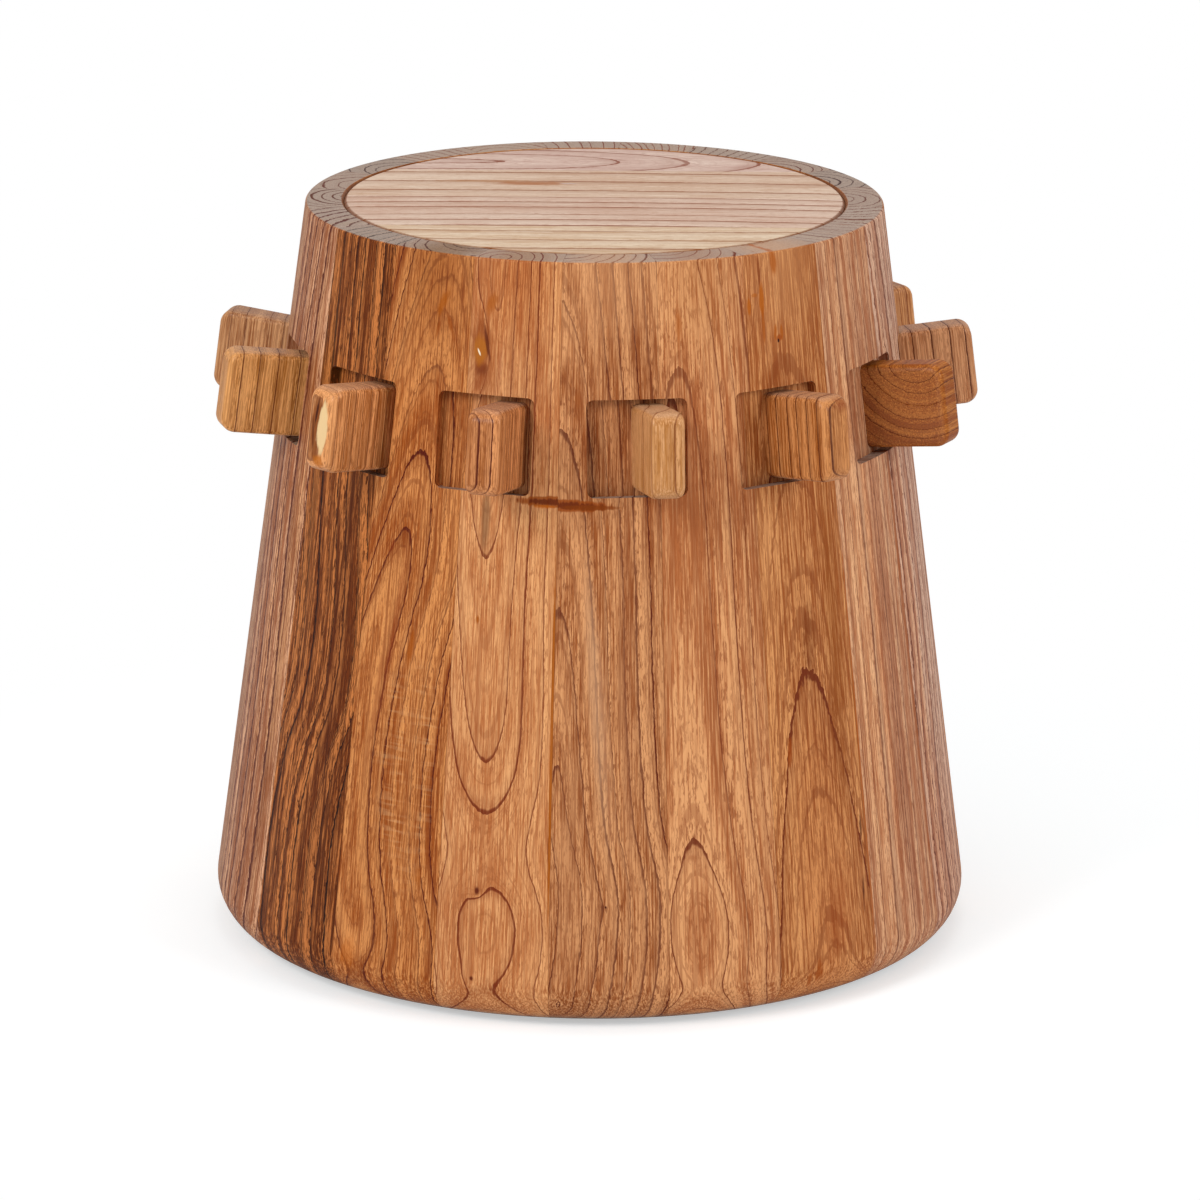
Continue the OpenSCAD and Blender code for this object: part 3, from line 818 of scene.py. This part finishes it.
blank_form, blank_keys = blank_tree()
seat_form, seat_keys = seat_tree()
for k in range(len(BLOCKS)):
    name = f"side_block_{k + 1:02d}"
    at, (aside, turn) = recess_place(k), block_set(k)
    set_in = at @ Matrix.Translation((aside, 0, 0)) @ Matrix.Rotation(turn, 4, "Z")
    finish = block_finish(f"block wood {k + 1}", set_in, BLOCK_LOOKS[k + 1])
    host = plain_piece(name + ".form", bpy.data.meshes.new(name))
    add_form(host, blank_form, blank_keys, {
        "Width": BLOCK_W, "Height": BLOCK_H, "Out": BLOCK_OUT, "Back": RECESS_D + BLOCK_WASTE,
        "Nose": BLOCK_NOSE, "Material": finish})
    eased = host.modifiers.new("eased", "BEVEL")
    eased.width, eased.segments, eased.angle_limit = BLOCK_EDGE, 5, math.radians(50)
    add_form(host, seat_form, seat_keys, {
        "Floor": RECESS_D, "Tenon Width": TENON_W, "Tenon Height": TENON_H, "Tenon Length": TENON_L,
        "Aside": aside, "Turn": turn, "Material": finish})
    mesh = plain_mesh(host, name)
    mesh.transform(at)
    piece = plain_piece(name, mesh)
    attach(piece, "root")
    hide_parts(f"block_{k + 1:02d}")

# --- Seat ----------------------------------------------------------------------------------
# Four boards glued edge to edge, with their grain from side to side, turned to a round and
# let in flush on the ledge of the staves. A bevel round it makes half of the fine V groove.
LET_IN = 0.0003
SEAT_R = RIM_R - RIM_W - LET_IN
BOARDS = [74, 82, 78, 68]
LINES = [-SEAT_R + 2 * SEAT_R * sum(BOARDS[:i]) / sum(BOARDS) for i in range(len(BOARDS) + 1)]


def board_outline(radius, low, high, height, steps=56):
    """Where a board between two straight lines leaves a round of this radius."""
    low, high = max(low, -radius), min(high, radius)
    first, last = math.asin(low / radius), math.asin(high / radius)
    turns = [first + (last - first) * i / steps for i in range(steps + 1)]
    right = [(radius * math.cos(t), radius * math.sin(t), height) for t in turns]
    return right + [(-x, y, z) for x, y, z in reversed(right)]


def seat_board(name, low, high, finish):
    """One board between two glue lines, with its ends on the round and bevelled there."""
    form = bmesh.new()
    rings = [[form.verts.new(p) for p in board_outline(*ring)] for ring in (
        (SEAT_R, low, high, SEAT_H - SEAT_T), (SEAT_R, low, high, SEAT_H - GROOVE),
        (SEAT_R - GROOVE, low, high, SEAT_H))]
    for under, over in zip(rings, rings[1:]):
        for i in range(len(under)):
            j = (i + 1) % len(under)
            form.faces.new((under[i], under[j], over[j], over[i]))
    form.faces.new(list(reversed(rings[0])))
    form.faces.new(rings[-1])
    bmesh.ops.remove_doubles(form, verts=form.verts, dist=1e-6)
    bmesh.ops.dissolve_degenerate(form, edges=form.edges, dist=1e-6)
    bmesh.ops.recalc_face_normals(form, faces=form.faces)
    for face in form.faces:
        face.smooth = True
    for edge in form.edges:
        edge.smooth = edge.calc_face_angle(0) < math.radians(30)
    mesh = bpy.data.meshes.new(name)
    form.to_mesh(mesh)
    form.free()
    mesh.materials.append(finish)
    return plain_piece(name, mesh)


def board_finish(name, look):
    """A flat board with its grain along X, seen from above. Its pith's path is given from its
    left end on, over the same 450 mm as a stave's."""
    mat = bpy.data.materials.new(name)
    b = bare(mat)
    look = dict(line=2.7, bold=1.3, pores=0.5, streaks=0.5, end=1.0) | look
    coords = b.add("ShaderNodeTexCoord", out=None).outputs
    lying = Matrix(((0, 0, 1), (-1, 0, 0), (0, -1, 0))).to_euler()
    at = b.add("ShaderNodeMapping", coords["Object"], (0, look["middle"], look["top"]), lying, (1, 1, 1),
               vector_type="TEXTURE")
    end = use(b, END_GRAIN, Normal=coords["Normal"], Grain=(1, 0, 0), Start=0.6, Full=0.95,
              Most=look["end"])[0]
    from_left = b.plus(b.split(at)[2], SEAT_H / 2)
    wood = sawn(b, look, at, end, along(b, from_left, look["across"], -200, 200),
                along(b, from_left, look["depth"], 0, 200))
    colour = add_marks(b, at, wood[0], look.get("marks", ()))
    x, y, _ = b.split(coords["Object"])
    # Painted shade along the board's round edge, where it meets the staves.
    colour = use(b, DARK_LINE, Color=colour, Distance=b.less(look["edge"], b.length(x, y)), Dark_To=0.0008,
                 Gone_At=0.0018, Share=0.8, Tone=rgb("7a4524"))[0]
    oiled(b, colour, wood[1], wood[2])
    return mat


SEAT_LOOKS = [
    dict(tones=("e6d0b6", "cda986", "8e4c1e"), ring=21.0, wander=1.0, seed=3.7,
         across=[(0, 90), (225, 96), (450, 90)], depth=[(0, 40)]),
    dict(tones=("e4ccb8", "cda892", "8c4a22"), ring=15.0, wander=1.1, seed=9.4,
         across=[(0, 110), (225, 100), (450, 112)], depth=[(0, 45)]),
    dict(tones=("e4ccb6", "cba78c", "8e4e20"), ring=24.0, wander=1.1, seed=1.6,
         across=[(0, 85), (225, 80), (450, 90)], depth=[(0, 40)],
         marks=[(0, -38, 7, 34, 0, 1.2, 0.6, 0.85, "a8683a"), (-6, -64, 4, 44, 0, 1.2, 0.7, 0.7, "b07848"),
                (0, -16, 2.4, 7, 0, 0.8, 0.5, 0.8, "c8b0a4")]),
    dict(tones=("e0c6b6", "c8a496", "8a4a30"), ring=13.0, wander=1.8, seed=6.1,
         across=[(0, 6), (225, 8), (450, 10)],
         depth=[(0, 4), (120, 8), (200, 16), (225, 22), (300, 44), (450, 90)]),
]
for i, look in enumerate(SEAT_LOOKS):
    low, high = LINES[i], LINES[i + 1]
    look.update(middle=(low + high) / 2, top=SEAT_H, edge=SEAT_R)
    piece = seat_board(f"seat_top_board_{i + 1}", low, high, board_finish(f"seat wood {i + 1}", look))
    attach(piece, "root")
    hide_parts(f"seat_board_{i + 1}")

# --- Base and glides -----------------------------------------------------------------------
# A plain round board closes the drum at the foot, bare and sanded. Six felt pads are stuck
# under it, so that the foot clears the floor by their thickness.
BASE_R = side_r(UNDER + BASE_T) - WALL + BASE_LIP - LET_IN
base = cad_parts["base_board"]
base.data.materials[0] = board_finish("base wood", dict(
    tones=("c9a278", "ad8259", "7d5535"), ring=7.0, wander=2.0, seed=17.0, across=[(0, 30)], depth=[(0, 60)],
    middle=0.0, top=UNDER, end=0.6, edge=BASE_R))


def felt_finish():
    """Pressed felt: matted fibres, a little uneven in tone."""
    mat = bpy.data.materials.new("pressed felt")
    b = bare(mat)
    at = b.add("ShaderNodeTexCoord", out=None).outputs["Object"]
    fuzz = b.noise(at, (2400, 2400, 2400), 4.0, 0.7)
    blotch = b.noise(at, (160, 160, 160), 2.0)
    colour = b.tint(fuzz, rgb("4a3424"), rgb("7a5a40"))
    colour = b.tint(b.times(blotch, 0.4), colour, rgb("5a4230"))
    oiled(b, colour, b.math("MULTIPLY_ADD", fuzz, 0.1, 0.85), fuzz, 0.0)
    return mat


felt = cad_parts["felt_glides"]
felt.data.materials[0] = felt_finish()

# --- Floor, light and camera ---------------------------------------------------------------
# A plain pale floor that runs out to white, big soft lamps to the left, right and above, and
# the camera where the photograph was taken from.
sheet = bmesh.new()
bmesh.ops.create_grid(sheet, x_segments=8, y_segments=8, size=6.0)
floor_mesh = bpy.data.meshes.new("studio floor")
sheet.to_mesh(floor_mesh)
sheet.free()
floor = plain_piece("studio_floor", floor_mesh)

# The camera sees a floor that turns white away from the stool. To all other rays it is a pale
# sheet, which also lights the underside from inside the ring where the foot stands.
GLOW_TO, GLOW_GONE, FADE_FROM, WHITE_AT = 0.18, 0.203, 0.24, 0.62
WHITE = (1, 1, 1, 1)
pale_floor = bpy.data.materials.new("pale floor")
b = bare(pale_floor)
seen = b.add("ShaderNodeLightPath", out=None).outputs["Is Camera Ray"]
x, y, _ = b.split(b.add("ShaderNodeTexCoord", out=None).outputs["Object"])
away = b.length(x, y)
glow = b.add("ShaderNodeEmission", WHITE, b.ramp(away, GLOW_TO, GLOW_GONE, 0.7, 0.0))
paint = b.add("ShaderNodeAddShader", b.add("ShaderNodeBsdfDiffuse", (0.82, 0.82, 0.82, 1)), glow)
near = b.add("ShaderNodeAddShader", b.add("ShaderNodeBsdfDiffuse", (0.66, 0.69, 0.70, 1)),
             b.add("ShaderNodeEmission", WHITE, 0.46))
pale = b.add("ShaderNodeMixShader", b.ramp(away, FADE_FROM, WHITE_AT), near,
             b.add("ShaderNodeEmission", WHITE, 1.0))
mix = b.add("ShaderNodeMixShader", seen, paint, pale)
behind = b.add("ShaderNodeNewGeometry", out=None).outputs["Backfacing"]
mix = b.add("ShaderNodeMixShader", behind, mix, b.add("ShaderNodeBsdfTransparent"))
b.put(b.add("ShaderNodeOutputMaterial", out=None).inputs[0], mix)
floor_mesh.materials.append(pale_floor)

# The world is seen white, and lights the stool at a little over half of that.
world = bpy.data.worlds.new("studio")
bpy.context.scene.world = world
b = bare(world)
seen = b.add("ShaderNodeLightPath", out=None).outputs["Is Camera Ray"]
strength = b.add("ShaderNodeMapRange", seen, 0.0, 1.0, 0.55, 1.0)
b.put(b.add("ShaderNodeOutputWorld", out=None).inputs[0], b.add("ShaderNodeBackground", WHITE, strength))

AIM = Vector((0, 0, 0.22))


def lamp(name, place, size, watts):
    """A round softbox, turned to the middle of the stool."""
    data = bpy.data.lights.new(name, "AREA")
    data.shape, data.size, data.energy = "DISK", size, watts
    light = bpy.data.objects.new(name, data)
    light.location = place
    light.rotation_euler = (AIM - Vector(place)).to_track_quat("-Z", "Y").to_euler()
    bpy.context.scene.collection.objects.link(light)


lamp("left softbox", (-1.9, -2.0, 2.1), 1.5, 46)
lamp("right softbox", (2.2, -1.5, 1.5), 1.4, 25)
lamp("top softbox", (0.2, 0.5, 2.6), 1.4, 10)

# Fitted to the outline of the stool in the photograph: how far the camera looks down, and how
# far it leans, in degrees.
LENS, LOOKS_DOWN, LEANS = 182.8, 15.882, 0.44
camera = bpy.data.cameras.new("camera")
camera.lens, camera.sensor_width, camera.clip_end = LENS, 36, 50
view = bpy.data.objects.new("camera", camera)
view.location = (0.0051, -3.5968, 1.2222)
view.rotation_euler = (Matrix.Rotation(math.radians(90 - LOOKS_DOWN), 3, "X") @
                       Matrix.Rotation(math.radians(LEANS), 3, "Z")).to_euler()
bpy.context.scene.collection.objects.link(view)
bpy.context.scene.camera = view
bpy.context.scene.view_settings.view_transform = "Standard"
